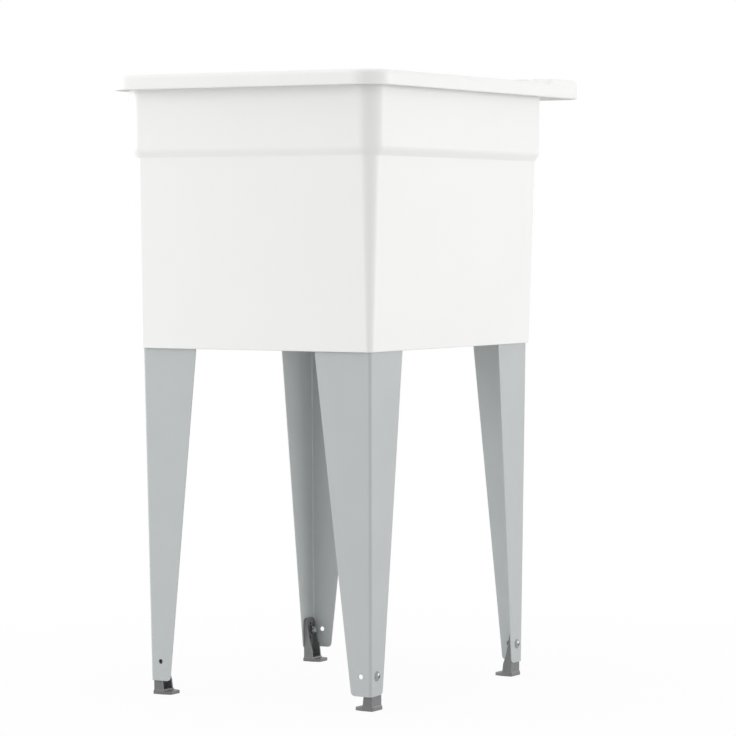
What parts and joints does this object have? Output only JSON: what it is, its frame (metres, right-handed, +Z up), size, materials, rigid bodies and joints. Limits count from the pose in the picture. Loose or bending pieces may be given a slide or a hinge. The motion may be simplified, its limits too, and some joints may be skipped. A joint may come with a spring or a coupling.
{
  "type": "utility laundry sink",
  "caption": "Floor-standing laundry sink: a deep moulded tub with a tap ledge, on angle-steel legs with levelling feet, with a strainer drain and stopper.",
  "frame": {"origin": "on the floor, under the middle of the rim", "axes": "+X to the right seen from the front, +Y towards the wall, +Z up"},
  "size_m": [0.438, 0.624, 0.8715],
  "materials": {
    "tub": "white moulded plastic, smooth satin",
    "leg": "light blue-grey powder coat on bent sheet steel",
    "foot": "dark grey moulded plastic",
    "zinc": "bright zinc plate",
    "drain_steel": "brushed stainless steel",
    "gasket": "black rubber",
    "fibre": "brown pressed fibre",
    "locknut": "pale grey moulded plastic",
    "stopper": "dark rubber"
  },
  "bodies": {
    "root": {"tub": "tub", "leg_front_left": "leg", "leg_front_right": "leg", "leg_back_left": "leg", "leg_back_right": "leg", "foot_screws": "zinc", "foot_washers": "zinc", "foot_nuts": "zinc", "drain_body": "drain_steel", "drain_gasket": "gasket", "drain_washer": "fibre", "drain_locknut": "locknut"},
    "foot_front_left": {"foot_front_left": "foot"},
    "foot_front_right": {"foot_front_right": "foot"},
    "foot_back_left": {"foot_back_left": "foot"},
    "foot_back_right": {"foot_back_right": "foot"},
    "stopper": {"drain_stopper": "stopper"}
  },
  "joints": [
    {"name": "level_front_left", "type": "slide", "parent": "root", "child": "foot_front_left", "axis": [-0.0115, -0.023, 0.9997], "range_m": [-0.008, 0.01]},
    {"name": "level_front_right", "type": "slide", "parent": "root", "child": "foot_front_right", "axis": [0.0115, -0.023, 0.9997], "range_m": [-0.008, 0.01]},
    {"name": "level_back_left", "type": "slide", "parent": "root", "child": "foot_back_left", "axis": [-0.0115, 0.0056, 0.9999], "range_m": [-0.008, 0.01]},
    {"name": "level_back_right", "type": "slide", "parent": "root", "child": "foot_back_right", "axis": [0.0115, 0.0056, 0.9999], "range_m": [-0.008, 0.01]},
    {"name": "stopper_lift", "type": "slide", "parent": "root", "child": "stopper", "axis": [0, 0, 1], "range_m": [0, 0.05]}
  ]
}
